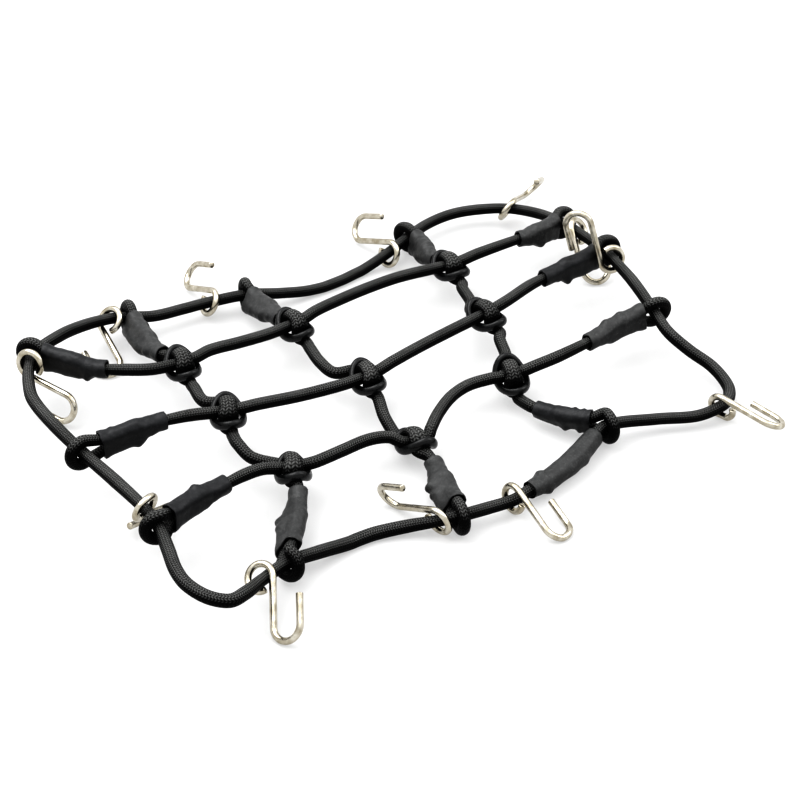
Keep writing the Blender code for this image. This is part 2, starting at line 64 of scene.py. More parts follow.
# hooks
EYE_R, BEND_R = 2.6, 2.9             # to the middle of the wire
EYE_TURN = 292.0                     # degrees of wire round the eye
HOOK_REACH = 12.5                    # from the eye's centre to the far side of the bend
TIP_LENGTH = 8.4                     # from the far side of the bend back to the tip

# The edge cord's axis, clockwise seen from above, with what sits on it there. All the
# routes follow points that a camera program converted. Some rows are those, rounded.
EDGE_ROUTE = (
    # place, x, y, z, radius
    ("long_1_left", -54.0, 54.0, 10.3, 1.15),
    ("", -46.0, 57.5, 9.4, 1.3),
    ("", -38.5, 60.2, 7.4, 1.25),
    ("hook_1", -31.8, 60.8, 5.9, 1.1),
    ("cross_1_back", -27.8, 60.0, 5.0, 1.15),
    ("", -22.5, 58.0, 4.2, 1.15),
    ("", -15.5, 57.0, 3.7, 1.15),
    ("hook_2", -10.3, 56.0, 3.6, 1.1),
    ("cross_2_back", -2.2, 52.6, 4.2, 1.15),
    ("", 5.0, 50.0, 3.0, 1.1),
    ("", 12.0, 48.6, 1.6, 1.1),
    ("", 20.0, 48.0, 0.95, 1.1),
    ("", 26.0, 48.3, 1.2, 1.1),
    ("hook_3", 33.0, 48.0, 3.1, 1.0),
    ("cross_3_back", 40.0, 49.2, 4.2, 1.15),
    ("", 47.5, 51.4, 3.8, 1.15),
    ("", 54.5, 51.3, 3.8, 1.15),
    ("", 60.5, 49.0, 3.9, 1.15),
    ("hook_4", 66.0, 44.5, 4.3, 1.0),
    ("", 68.6, 37.0, 5.7, 1.15),
    ("long_1_right", 68.4, 28.6, 7.6, 1.15),
    ("hook_6", 67.4, 21.4, 8.8, 1.0),
    ("long_2_right", 65.7, 11.2, 10.1, 1.15),
    ("hook_5", 64.5, 6.9, 10.4, 1.0),
    ("", 62.2, -2.0, 10.3, 1.25),
    ("long_3_right", 59.5, -11.6, 9.0, 1.15),
    ("", 58.0, -17.5, 7.8, 1.25),
    ("", 59.2, -23.0, 5.6, 1.25),
    ("", 60.8, -28.6, 3.8, 1.25),
    ("", 59.8, -34.3, 2.7, 1.25),
    ("", 57.0, -37.4, 2.6, 1.25),
    ("hook_7", 53.2, -38.7, 2.9, 1.1),
    ("", 47.5, -37.8, 2.7, 1.1),
    ("", 40.0, -33.8, 3.0, 1.1),
    ("cross_3_front", 29.4, -30.3, 4.2, 1.15),
    ("splice_end", 23.8, -31.6, 3.6, 1.2),
    ("splice", 18.0, -33.6, 3.2, 1.2),
    ("splice", 12.0, -34.8, 3.0, 1.2),
    ("splice_end", 4.6, -35.3, 2.9, 1.2),
    ("hook_10", 0.6, -35.6, 2.9, 1.1),
    ("", -5.5, -34.6, 3.2, 1.2),
    ("cross_2_front", -11.6, -33.8, 3.95, 1.15),
    ("hook_9", -15.6, -31.6, 3.2, 1.0),
    ("", -19.6, -28.6, 2.1, 1.3),
    ("", -25.0, -25.9, 1.4, 1.42),
    ("", -28.3, -25.2, 1.25, 1.42),
    ("", -32.0, -24.9, 1.5, 1.42),
    ("", -38.4, -25.0, 3.0, 1.35),
    ("cross_1_front", -45.8, -25.4, 4.7, 1.15),
    ("hook_8", -53.0, -27.8, 6.2, 1.0),
    ("", -59.0, -31.0, 8.5, 1.3),
    ("", -63.0, -32.0, 9.6, 1.3),
    ("", -66.0, -29.6, 10.4, 1.3),
    ("", -67.4, -25.0, 10.8, 1.3),
    ("", -66.9, -20.5, 10.8, 1.3),
    ("", -64.8, -14.5, 10.5, 1.3),
    ("long_3_left", -62.6, -7.8, 10.2, 1.15),
    ("hook_12", -61.9, -2.4, 10.2, 1.0),
    ("", -61.8, 9.0, 9.8, 1.3),
    ("long_2_left", -62.3, 20.4, 9.8, 1.15),
    ("", -62.5, 31.0, 10.1, 1.3),
    ("", -61.8, 40.5, 10.3, 1.3),
    ("", -59.6, 46.2, 10.3, 1.15),
    ("hook_11", -57.3, 50.1, 10.3, 1.0),
)

# A long cord's route names the place of each end loop and each crossing, and gives
# the points between them.
LONG_ROUTES = {
    "long_1": (
        "long_1_left", (-50.9, 48.5, 10.4), (-47.5, 42.5, 10.6), (-42.6, 37.6, 10.8),
        (-38.0, 34.4, 10.7), "cross_1", (-24.0, 33.2, 10.1), (-17.5, 32.1, 9.8),
        (-11.0, 31.4, 9.4), "cross_2", (2.6, 32.9, 8.8), (9.5, 33.4, 8.6),
        (17.0, 33.4, 8.5), (25.0, 32.7, 8.4), "cross_3", (44.2, 29.2, 8.6),
        (54.0, 28.4, 8.6), (60.5, 27.3, 8.4), "long_1_right",
    ),
    "long_2": (
        "long_2_left", (-56.5, 19.2, 10.5), (-51.5, 18.4, 11.0), (-46.2, 17.5, 11.5),
        (-40.0, 15.8, 11.3), "cross_1", (-27.0, 11.6, 10.5), (-18.5, 9.6, 9.8),
        (-10.0, 8.4, 9.0), "cross_2", (4.7, 8.6, 8.6), (13.0, 9.3, 8.7),
        (22.0, 9.5, 9.0), "cross_3", (37.7, 10.8, 9.0), (44.3, 11.8, 9.3),
        (50.5, 11.9, 9.5), (57.0, 11.2, 9.6), (61.5, 11.0, 9.9), "long_2_right",
    ),
    "long_3": (
        "long_3_left", (-57.0, -6.4, 10.2), (-50.7, -5.2, 10.1), (-45.2, -4.8, 10.0),
        (-41.0, -4.4, 9.7), (-36.8, -4.4, 9.1), "cross_1", (-26.3, -7.8, 8.0),
        (-20.4, -7.9, 7.8), (-13.7, -7.5, 7.0), (-9.4, -8.6, 6.3), "cross_2",
        (-0.6, -11.0, 5.8), (3.7, -8.0, 5.8), (9.0, -5.5, 6.0), (14.0, -4.8, 6.2),
        (18.8, -6.0, 6.4), "cross_3", (28.4, -9.1, 7.2), (33.8, -10.1, 7.8),
        (41.5, -10.3, 8.0), (50.0, -10.2, 8.2), (55.5, -10.6, 8.5), "long_3_right",
    ),
}

# A crossing is a point on the long cord's axis. It tilts towards the front, and the
# front of its hump turns to the left of square. The places were worked out by a camera
# program first and then moved by hand.
CROSSINGS = {
    # (cross cord, long cord): (x, y, z, tilt, turn in degrees)
    ("cross_1", "long_1"): (-30.8, 33.2, 10.1, 8.0, 4.0),
    ("cross_2", "long_1"): (-3.3, 32.2, 8.6, 8.0, 4.0),
    ("cross_3", "long_1"): (37.2, 30.1, 8.2, 3.0, -6.0),
    ("cross_1", "long_2"): (-32.8, 13.4, 10.6, 7.0, 4.0),
    ("cross_2", "long_2"): (-1.7, 8.5, 8.1, 8.0, 8.0),
    ("cross_3", "long_2"): (31.3, 10.4, 8.6, 8.0, 0.0),
    ("cross_1", "long_3"): (-31.0, -6.3, 8.1, -10.0, 6.0),
    ("cross_2", "long_3"): (-4.7, -11.2, 5.0, -18.0, -14.0),
    ("cross_3", "long_3"): (23.4, -7.6, 6.5, 25.0, 0.0),
}

CROSS_ROUTES = {
    "cross_1": (
        "cross_1_back", (-29.6, 54.0, 5.7), (-31.0, 47.0, 6.7), (-31.2, 40.5, 7.8),
        "long_1", (-32.6, 26.5, 8.2), (-33.6, 21.2, 8.4),
        "long_2", (-35.8, 5.6, 8.2), (-35.2, 1.6, 7.1),
        "long_3", (-35.0, -13.2, 5.4), (-39.2, -17.4, 5.1), (-42.8, -21.4, 4.9),
        "cross_1_front",
    ),
    "cross_2": (
        "cross_2_back", (-3.2, 47.5, 5.0), (-3.3, 41.0, 6.2),
        "long_1", (-4.6, 25.0, 6.5), (-5.6, 20.0, 6.3), (-5.2, 15.5, 6.1),
        "long_2", (-4.3, -0.6, 3.7),
        "long_3", (-5.2, -18.0, 3.4), (-7.4, -22.6, 3.5), (-9.6, -27.6, 3.6),
        "cross_2_front",
    ),
    "cross_3": (
        "cross_3_back", (39.6, 44.5, 4.6), (38.0, 39.5, 5.4),
        "long_1", (35.2, 23.5, 6.2), (33.2, 18.0, 6.3),
        "long_2", (29.7, 4.0, 6.0), (27.6, -0.6, 5.2),
        "long_3", (22.0, -15.6, 3.5), (23.6, -20.4, 3.7), (26.6, -25.6, 4.0),
        "cross_3_front",
    ),
}

# Each end sleeve runs from its mouth to its neck, measured from the edge cord's axis,
# and rolls about itself so that the tail of its cord lies to one side.
SLEEVES = {
    # place: (mouth, neck, roll in degrees)
    "long_1_left": (2.9, 17.0, 0.0),
    "long_1_right": (2.9, 13.6, 0.0),
    "long_2_left": (3.9, 17.6, 0.0),
    "long_2_right": (2.9, 17.4, 0.0),
    "long_3_left": (2.9, 17.4, 0.0),
    "long_3_right": (2.9, 18.0, 0.0),
    "cross_1_back": (3.1, 20.0, -48.0),
    "cross_1_front": (3.6, 19.4, 60.0),
    "cross_2_back": (2.9, 15.4, -55.0),
    "cross_2_front": (3.0, 17.8, 65.0),
    "cross_3_back": (2.9, 13.6, -25.0),
    "cross_3_front": (3.1, 15.2, -30.0),
}
PAST_NECK = 1.2                      # the cord's own route takes over this far on
MOUTH_ROLL, ROLLED_BY = 0.5, 0.3     # share of the roll at the mouth, and where it is whole

# Each hook: how far its eye's centre sits off the edge cord's axis, its shank's
# heading and slope, and the turn about the shank of its eye and of its bend, in
# degrees. Zero turn is level, to the right of the heading. The rows weren't chosen by
# hand: a separate fitting program worked them out. They are its rounded results, with
# a few values moved by hand.
HOOKS = (
    # place, off x, off y, off z, heading, slope, eye turn, bend turn
    ("hook_1", -0.4, -0.5, 0.0, -99.0, -13.5, -42.0, -12.5),
    ("hook_2", 0.5, -0.2, 0.1, 92.0, -24.5, 56.0, 47.0),
    ("hook_3", 0.5, -0.3, 0.1, 100.0, -22.0, 64.0, 54.0),
    ("hook_4", -0.1, 0.0, 0.0, 36.0, -25.0, 59.0, 50.0),
    ("hook_5", -0.4, 0.4, 0.2, 105.0, 70.5, -152.0, -109.0),
    ("hook_6", 0.6, 1.2, -0.2, -104.0, -47.0, 33.0, 171.0),
    ("hook_7", 0.2, -0.4, 0.1, -77.0, -7.0, 82.0, -158.0),
    ("hook_8", -0.1, 0.8, -0.1, -125.0, -35.0, 153.5, 147.5),
    ("hook_9", 0.4, -0.3, 0.1, 97.0, -27.0, 99.5, 110.5),
    ("hook_10", 0.0, 0.1, 0.3, -94.0, -20.0, 99.0, -164.0),
    ("hook_11", 0.8, 0.8, 0.4, -66.5, -9.5, -74.0, -66.0),
    ("hook_12", -0.1, 0.3, 0.6, 24.0, -23.0, -108.5, -135.5),
)

# The two legs of an end loop. Along is a share of the sleeve, from mouth to neck.
LEG_BOTH = ((0.0, 1.45, CORD_HELD_R), (0.15, 1.15, CORD_HELD_R), (0.5, 1.15, CORD_HELD_R))
LEG_LONG = ((0.7, 0.5, CORD_HELD_R), (0.84, 0.0, CORD_HELD_R), (1.0, 0.0, CORD_HELD_R))

SLEEVE_SECTIONS = (
    # along, half height, half width
    (0.0, 3.3, 1.85),
    (0.15, 2.85, 1.8),
    (0.38, 2.8, 1.8),
    (0.57, 2.8, 1.85),
    (0.72, 2.2, 1.8),
    (0.86, 1.9, 1.8),
    (1.0, 1.95, 1.8),
)
SPLICE_SECTIONS = (
    # along, half height, half width
    (0.0, 2.05, 1.9),
    (0.2, 2.2, 2.05),
    (0.4, 2.35, 2.2),
    (0.6, 2.3, 2.15),
    (0.8, 2.15, 2.0),
    (1.0, 2.05, 1.9),
)
LOOP_FIRST, LOOP_LAST, LOOP_STEPS = 75.0, 285.0, 6   # degrees round the edge cord

# The cross cord's hump over the long cord, mirrored about the middle.
HUMP = (
    # across the long cord, above its axis, radius
    (4.7, -2.5, CORD_R),
    (4.0, -2.35, 1.2),
    (2.8, -1.5, 1.05),
    (2.3, -0.3, 0.95),
    (2.05, 0.8, 0.95),
    (1.2, 1.8, 0.95),
    (0.0, 2.15, 1.0),
)
NIP_REACH = 2.6                      # the long cord is squeezed this far each way


# --- lines through space ---------------------------------------------------------

def spline_point(points, index, share, closed):
    """Point on a Catmull-Rom curve, a share of the way from points[index]."""
    count = len(points)

    def pick(place):
        if closed:
            return points[place % count]
        return points[min(max(place, 0), count - 1)]

    p0, p1, p2, p3 = (pick(index + step) for step in (-1, 0, 1, 2))
    span = (p2 - p1).length
    into = (p2 - p0) * (span / max((p2 - p1).length + (p1 - p0).length, 1e-6))
    away = (p3 - p1) * (span / max((p3 - p2).length + (p2 - p1).length, 1e-6))
    s2, s3 = share ** 2, share ** 3
    return (p1 * (2 * s3 - 3 * s2 + 1) + into * (s3 - 2 * s2 + share)
            + p2 * (3 * s2 - 2 * s3) + away * (s3 - s2))


def fill_line(points, radii, longest, closed=False):
    """The same line with points added where a step is longer than longest."""
    line, sizes = [], []
    last = len(points) if closed else len(points) - 1
    for index in range(last):
        follow = (index + 1) % len(points)
        steps = max(1, math.ceil((points[follow] - points[index]).length / longest))
        for step in range(steps):
            share = step / steps
            line.append(spline_point(points, index, share, closed))
            sizes.append(radii[index] * (1 - share) + radii[follow] * share)
    if not closed:
        line.append(points[-1])
        sizes.append(radii[-1])
    return line, sizes


def walk(line, distance):
    """Point and direction at a distance along a line."""
    for start, end in zip(line, line[1:]):
        length = (end - start).length
        if distance <= length:
            break
        distance -= length
    direction = (end - start).normalized()
    return start + direction * distance, direction


def upright(direction):
    """Side and up directions square to a direction that runs roughly level."""
    side = direction.cross(UP).normalized()
    return side, side.cross(direction)


# --- where things lie --------------------------------------------------------------

def edge_places():
    return {row[0]: (Vector(row[1:4]), row[4]) for row in EDGE_ROUTE if row[0]}


def crossing_frame(cross_name, long_name):
    """Middle of a crossing, and its directions along, across and above the long cord."""
    route = LONG_ROUTES[long_name]
    index = route.index(cross_name)
    x, y, z, tilt, turn = CROSSINGS[cross_name, long_name]
    along = (Vector(route[index + 1]) - Vector(route[index - 1])).normalized()
    across = UP.cross(along).normalized()
    across = Matrix.Rotation(math.radians(tilt), 3, along) @ across
    above = along.cross(across)
    across = Matrix.Rotation(math.radians(-turn), 3, above) @ across
    return Vector((x, y, z)), along, across, above


def middle_of_long(name):
    """Points and radii of a long cord from one end place to the other."""
    places = edge_places()
    points, radii = [], []
    for stop in LONG_ROUTES[name]:
        if stop in places:
            points.append(places[stop][0])
            radii.append(CORD_R)
        elif stop in CROSS_ROUTES:
            middle, along, _, _ = crossing_frame(stop, name)
            for reach, radius in ((-NIP_REACH, CORD_R), (0, NIP_R), (NIP_REACH, CORD_R)):
                points.append(middle + along * reach)
                radii.append(radius)
        else:
            points.append(Vector(stop))
            radii.append(CORD_R)
    return points, radii


def hump(cross_name, long_name):
    """The cross cord's way up through the ring, over the long cord and down again."""
    middle, _, across, above = crossing_frame(cross_name, long_name)
    rows = list(HUMP) + [(-row[0], row[1], row[2]) for row in HUMP[-2::-1]]
    points = [middle + across * row[0] + above * row[1] for row in rows]
    return points, [row[2] for row in rows]


def middle_of_cross(name):
    """Points and radii of a cross cord from its back end place to its front one."""
    places = edge_places()
    points, radii = [], []
    for stop in CROSS_ROUTES[name]:
        if stop in places:
            points.append(places[stop][0])
            radii.append(CORD_R)
        elif stop in LONG_ROUTES:
            over, sizes = hump(name, stop)
            points += over
            radii += sizes
        else:
            points.append(Vector(stop))
            radii.append(CORD_R)
    return points, radii


def sleeve_station(place, line, share):
    """Point, direction, side and up at a share of an end sleeve's length."""
    mouth, neck, roll = SLEEVES[place]
    point, direction = walk(line, mouth + share * (neck - mouth))
    turned = MOUTH_ROLL + (1.0 - MOUTH_ROLL) * min(1.0, share / ROLLED_BY)
    rolling = Matrix.Rotation(math.radians(roll * turned), 3, direction)
    side, above = upright(direction)
    return point, direction, rolling @ side, rolling @ above


def edge_direction(place):
    """Direction of the edge cord where something is looped round it."""
    index = [row[0] for row in EDGE_ROUTE].index(place)
    before, after = EDGE_ROUTE[index - 1], EDGE_ROUTE[(index + 1) % len(EDGE_ROUTE)]
    return (Vector(after[1:4]) - Vector(before[1:4])).normalized()


def end_loop(place, line):
    """Tail, loop round the edge cord and long leg, ending at the sleeve's neck."""
    centre, edge_radius = edge_places()[place]
    inward = sleeve_station(place, line, 0.0)[0] - centre
    edge_way = edge_direction(place)
    inward = (inward - edge_way * inward.dot(edge_way)).normalized()
    above = inward.cross(edge_way).normalized()
    above *= math.copysign(1.0, above.z)
    loop_r = edge_radius + CORD_LOOP_R + GAP

    def leg(rows, sign):
        points = []
        for share, height, _ in rows:
            point, _, _, leg_up = sleeve_station(place, line, share)
            points.append(point + leg_up * height * sign)
        return points

    turn = (LOOP_LAST - LOOP_FIRST) / LOOP_STEPS
    angles = [math.radians(LOOP_LAST - turn * step) for step in range(LOOP_STEPS + 1)]
    loop = [centre + (inward * math.cos(angle) + above * math.sin(angle)) * loop_r
            for angle in angles]
    points = leg(LEG_BOTH[::-1], -1) + loop + leg(LEG_BOTH + LEG_LONG, 1)
    radii = ([row[2] for row in LEG_BOTH[::-1]] + [CORD_LOOP_R] * len(loop)
             + [row[2] for row in LEG_BOTH + LEG_LONG])
    return points, radii


def past_reach(points, radii, reach):
    """The part of a line that lies more than reach along it."""
    travelled, keep = 0.0, len(points)
    for index in range(1, len(points)):
        travelled += (points[index] - points[index - 1]).length
        if travelled > reach:
            keep = index
            break
    return points[keep:], radii[keep:]


def inner_cord_line(name):
    """Whole line of an inner cord, tail to tail, with its radii."""
    is_long = name in LONG_ROUTES
    points, radii = (middle_of_long if is_long else middle_of_cross)(name)
    route = (LONG_ROUTES if is_long else CROSS_ROUTES)[name]
    first, last = route[0], route[-1]
    fine, _ = fill_line(points, radii, 1.0)
    head, head_radii = end_loop(first, fine)
    foot, foot_radii = end_loop(last, fine[::-1])
    points, radii = past_reach(points, radii, SLEEVES[first][1] + PAST_NECK)
    points, radii = past_reach(points[::-1], radii[::-1], SLEEVES[last][1] + PAST_NECK)
    points, radii = points[::-1], radii[::-1]
    return (head + points + foot[::-1], head_radii + radii + foot_radii[::-1])


# --- meshes ------------------------------------------------------------------------

CORD_SIDES, CORD_STEP = 48, 0.3     # facets round a cord, and mm between its rings
WIRE_SIDES, WIRE_STEP = 20, 0.25
RUBBER_SIDES, RUBBER_STEP = 20, 0.3
COLUMNS, STITCH, SLANT = 16, 0.53, 0.75   # braid: columns round a cord, mm a stitch, slope
BRAID_DEPTH = 0.04                   # mm from the crown of a column to its valley
BRAID_LEVEL = 0.6                    # share of that depth below the cord's own radius
CAP_SPREAD = 0.1                     # size of an end face in the UV map
DOME_STEPS, DOME_LEAST = 5, 0.3      # rings of a rounded end, and its narrowest share


def smooth_line(points, radii, step, closed=False):
    """Even, smooth points and radii along a route."""
    line, sizes = fill_line(points, radii, step, closed)
    return [Vector(point) for point in line], sizes


def frames_along(line, closed):
    """Directions square to a line at each point, turning as little as they can."""
    count = len(line)
    ways = []
    for index in range(count):
        if closed:
            before, after = line[index - 1], line[(index + 1) % count]
        else:
            before, after = line[max(index - 1, 0)], line[min(index + 1, count - 1)]
        ways.append((after - before).normalized())
    side = ways[0].orthogonal().normalized()
    frames = []
    for index, way in enumerate(ways):
        if index:
            turn = ways[index - 1].rotation_difference(way)
            side = turn @ side
        side = (side - way * side.dot(way)).normalized()
        frames.append((way, side.copy(), way.cross(side)))
    if closed:
        last = ways[-1].rotation_difference(ways[0]) @ frames[-1][1]
        slip = math.atan2(last.dot(frames[0][2]), last.dot(frames[0][1]))
        for index, (way, side, other) in enumerate(frames):
            back = Matrix.Rotation(-slip * index / count, 3, way)
            frames[index] = (way, back @ side, back @ other)
    return frames


def mesh_object(name, verts, faces, uvs, made_of):
    mesh = bpy.data.meshes.new(name)
    mesh.from_pydata([tuple(vert) for vert in verts], [], faces)
    layer = mesh.uv_layers.new(name="along_around")
    layer.data.foreach_set("uv", np.asarray(uvs, np.float32).ravel())
    mesh.materials.append(made_of)
    mesh.shade_smooth()
    mesh.update()
    thing = bpy.data.objects.new(name, mesh)
    bpy.context.scene.collection.objects.link(thing)
    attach(thing, "root")
    return thing


def braid_height(around):
    """Height of the braid, 0 to 1: rounded columns of stitches along the cord."""
    return math.sqrt(math.sin(math.pi * (COLUMNS * around % 1.0)))


def rod(name, line, sizes, sides, made_of, closed=False, braid=0.0, widths=None,
        round_ends=0.0):
    """Round rod along a fine line. Widths scale it along directions at each point."""
    frames = frames_along(line, closed)
    rings, travelled = [], [0.0]
    for before, after in zip(line, line[1:]):
        travelled.append(travelled[-1] + (after - before).length)
    if round_ends and not closed:
        line, sizes, frames, travelled = dome(line, sizes, frames, travelled, round_ends)
    for index, (point, size) in enumerate(zip(line, sizes)):
        _, side, other = frames[index]
        ring = []
        for facet in range(sides):
            angle = 2 * math.pi * facet / sides
            radius = size
            if braid:
                radius += braid * (braid_height(facet / sides) - BRAID_LEVEL)
            off = (side * math.cos(angle) + other * math.sin(angle)) * radius
            for way, scale in (widths and widths[index]) or ():
                off = off + way * off.dot(way) * (scale - 1.0)
            ring.append((point + off - ORIGIN) * MM)
        rings.append(ring)
    verts = [vert for ring in rings for vert in ring]
    faces, uvs = [], []
    count = len(rings)
    whole = travelled[-1] + (line[0] - line[-1]).length
    for index in range(count if closed else count - 1):
        follow = (index + 1) % count
        low = travelled[index]
        high = travelled[follow] if follow else whole
        for facet in range(sides):
            after = (facet + 1) % sides
            faces.append((index * sides + facet, index * sides + after,
                          follow * sides + after, follow * sides + facet))
            near, far = facet / sides, (facet + 1) / sides
            uvs += [(near, low), (far, low), (far, high), (near, high)]
    if not closed:
        for ring, order in ((0, -1), (count - 1, 1)):
            loop = [ring * sides + facet for facet in range(sides)][::order]
            faces.append(tuple(loop))
            uvs += [(0.5 + CAP_SPREAD * math.cos(2 * math.pi * facet / sides),
                     travelled[ring] + CAP_SPREAD * math.sin(2 * math.pi * facet / sides))
                    for facet in range(sides)]
    return mesh_object(name, verts, faces, uvs, made_of)


def dome(line, sizes, frames, travelled, reach):
    """Rounds both ends of a rod over a short reach."""
    steps = DOME_STEPS
    first, last = [], []
    for step in range(steps):
        share = math.sin(0.5 * math.pi * step / steps)
        narrow = max(math.sqrt(max(1.0 - (1.0 - share) ** 2, 0.0)), DOME_LEAST)
        first.append((line[0] - frames[0][0] * reach * (1 - share), sizes[0] * narrow))
        last.append((line[-1] + frames[-1][0] * reach * (1 - share), sizes[-1] * narrow))
    last = last[::-1]
    line = [row[0] for row in first] + line + [row[0] for row in last]
    sizes = [row[1] for row in first] + list(sizes) + [row[1] for row in last]
    frames = [frames[0]] * steps + frames + [frames[-1]] * steps
    start, end = travelled[0], travelled[-1]
    travelled = ([start - reach * (1 - step / steps) for step in range(steps)] + travelled
                 + [end + reach * (step + 1) / steps for step in range(steps)])
    return line, sizes, frames, travelled


# --- materials ---------------------------------------------------------------------

BRAID_DARK, BRAID_LIGHT = (0.0002, 0.0002, 0.0003), (0.132, 0.133, 0.130)
SPECKS = 0.22                        # how much the dust on the tubing stands out
SHRINK_DARK = (0.002, 0.0022, 0.0025)
SHRINK_CLEAN, SHRINK_DUSTY = (0.027, 0.028, 0.0305), (0.069, 0.070, 0.070)
WIRE_WARM, WIRE_BRIGHT = (0.36, 0.325, 0.25), (0.62, 0.595, 0.53)
RUBBER_DARK, RUBBER_LIGHT = (0.004, 0.0043, 0.0046), (0.014, 0.0147, 0.0154)
FLOOR_DARK, FLOOR_LIGHT = (0.255, 0.255, 0.255), (0.265, 0.265, 0.265)
THREADS = 4.0                        # fine threads in a stitch
DRIFT = 0.35                         # how far stitches wander, as a share of one
FUZZ_SHADE, CROWN_PAINTED_LIGHT = 0.56, 0.66  # what fuzz adds to the shade, and the painted highlight of raised stitches over shaded valleys
PAINTED_TOP_GAIN, PAINTED_SIDE_KEEP = 0.86, 0.14    # painted top light: the share added on what faces up, and the share kept everywhere


def new_material(name):
    made = bpy.data.materials.new(name)
    made.use_nodes = True
    tree = made.node_tree
    return made, tree, tree.nodes["Principled BSDF"]


def node(tree, kind, settings=None, **inputs):
    made = tree.nodes.new(kind)
    for key, value in (settings or {}).items():
        setattr(made, key, value)
    for key, value in inputs.items():
        socket = made.inputs[key.replace("_", " ")] if not key.startswith("i") else \
            made.inputs[int(key[1:])]
        if isinstance(value, bpy.types.NodeSocket):
            tree.links.new(value, socket)
        else:
            socket.default_value = value
    return made


def math_node(tree, operation, first, second=0.0, third=0.0):
    return node(tree, "ShaderNodeMath", {"operation": operation},
                i0=first, i1=second, i2=third).outputs[0]


def ramp(tree, factor, low, high):
    """Colour ramp from low to high, each (place, colour)."""
    made = node(tree, "ShaderNodeValToRGB", i0=factor)
    for element, (place, colour) in zip(made.color_ramp.elements, (low, high)):
        element.position = place
        element.color = (*colour, 1.0)
    return made.outputs["Color"]


def texture(tree, place, scale, detail, **more):
    """Noise from 0 to 1."""
    return node(tree, "ShaderNodeTexNoise", Vector=place, Scale=scale, Detail=detail,
                **more).outputs[0]


def emboss(tree, shader, height, strength, depth):
    """Bump from a height, with its depth in metres."""
    bump = node(tree, "ShaderNodeBump", Strength=strength, Distance=depth, Height=height)
    tree.links.new(bump.outputs[0], shader.inputs["Normal"])


def painted_top_light_mask(tree, low, high):
    """0 on the sides and undersides, 1 on what faces up: the mask of painted top light."""
    normal = node(tree, "ShaderNodeNewGeometry").outputs["Normal"]
    height = node(tree, "ShaderNodeSeparateXYZ", i0=normal).outputs["Z"]
    return node(tree, "ShaderNodeMapRange", {"interpolation_type": "SMOOTHSTEP"},
                Value=height, From_Min=low, From_Max=high).outputs[0]


def braid_material():
    """Black braided elastic: mirrored columns of stitches, each of fine threads."""
    made, tree, shader = new_material("braided_elastic")
    uv = node(tree, "ShaderNodeUVMap", {"uv_map": "along_around"}).outputs["UV"]
    parts = node(tree, "ShaderNodeSeparateXYZ", i0=uv).outputs
    place = node(tree, "ShaderNodeTexCoord").outputs["Object"]
    drift = texture(tree, place, 220.0, 1.0)
    column = math_node(tree, "MULTIPLY", parts["X"], float(COLUMNS))
    ridge = math_node(tree, "SQRT", math_node(tree, "SINE", math_node(
        tree, "MULTIPLY", math_node(tree, "FRACT", column), math.pi)))
    zigzag = math_node(tree, "PINGPONG", column, 1.0)
    phase = math_node(tree, "MULTIPLY_ADD", zigzag, -SLANT,
                      math_node(tree, "DIVIDE", parts["Y"], STITCH))
    phase = math_node(tree, "MULTIPLY_ADD", drift, DRIFT, phase)
    turned = math_node(tree, "MULTIPLY", phase, 2 * math.pi)
    stitch = math_node(tree, "MULTIPLY_ADD", math_node(tree, "COSINE", turned), 0.5, 0.5)
    threads = math_node(tree, "COSINE", math_node(tree, "MULTIPLY", turned, THREADS))
    fuzz = texture(tree, place, 3200.0, 3.0, Roughness=0.65)
    wear = texture(tree, place, 110.0, 2.0)
    crown = math_node(tree, "MULTIPLY", ridge,
                      math_node(tree, "MULTIPLY_ADD", stitch, 0.85, 0.15))
    height = math_node(tree, "MULTIPLY_ADD", threads, 0.07, crown)
    height = math_node(tree, "MULTIPLY_ADD", fuzz, 0.5, height)
    emboss(tree, shader, height, 0.9, 0.00011)
    # painted light and shade: raised stitches lighter, their valleys darker
    shade = math_node(tree, "MULTIPLY_ADD", fuzz, FUZZ_SHADE,
                      math_node(tree, "MULTIPLY", crown, CROWN_PAINTED_LIGHT))
    shade = math_node(tree, "MULTIPLY", shade, math_node(tree, "MULTIPLY_ADD", wear, 0.5, 0.75))
    # painted light: the braid is lighter where it faces up, as if lit from above
    painted_top_lit = math_node(tree, "MULTIPLY_ADD", painted_top_light_mask(tree, 0.1, 1.0), PAINTED_TOP_GAIN,
                       PAINTED_SIDE_KEEP)
    shade = math_node(tree, "MULTIPLY", shade, painted_top_lit)
    colour = ramp(tree, shade, (0.27, BRAID_DARK), (0.92, BRAID_LIGHT))
    tree.links.new(colour, shader.inputs["Base Color"])
    rough = math_node(tree, "MULTIPLY_ADD", crown, -0.32, 0.6)
    tree.links.new(rough, shader.inputs["Roughness"])
    shader.inputs["Specular IOR Level"].default_value = 0.14
    return made


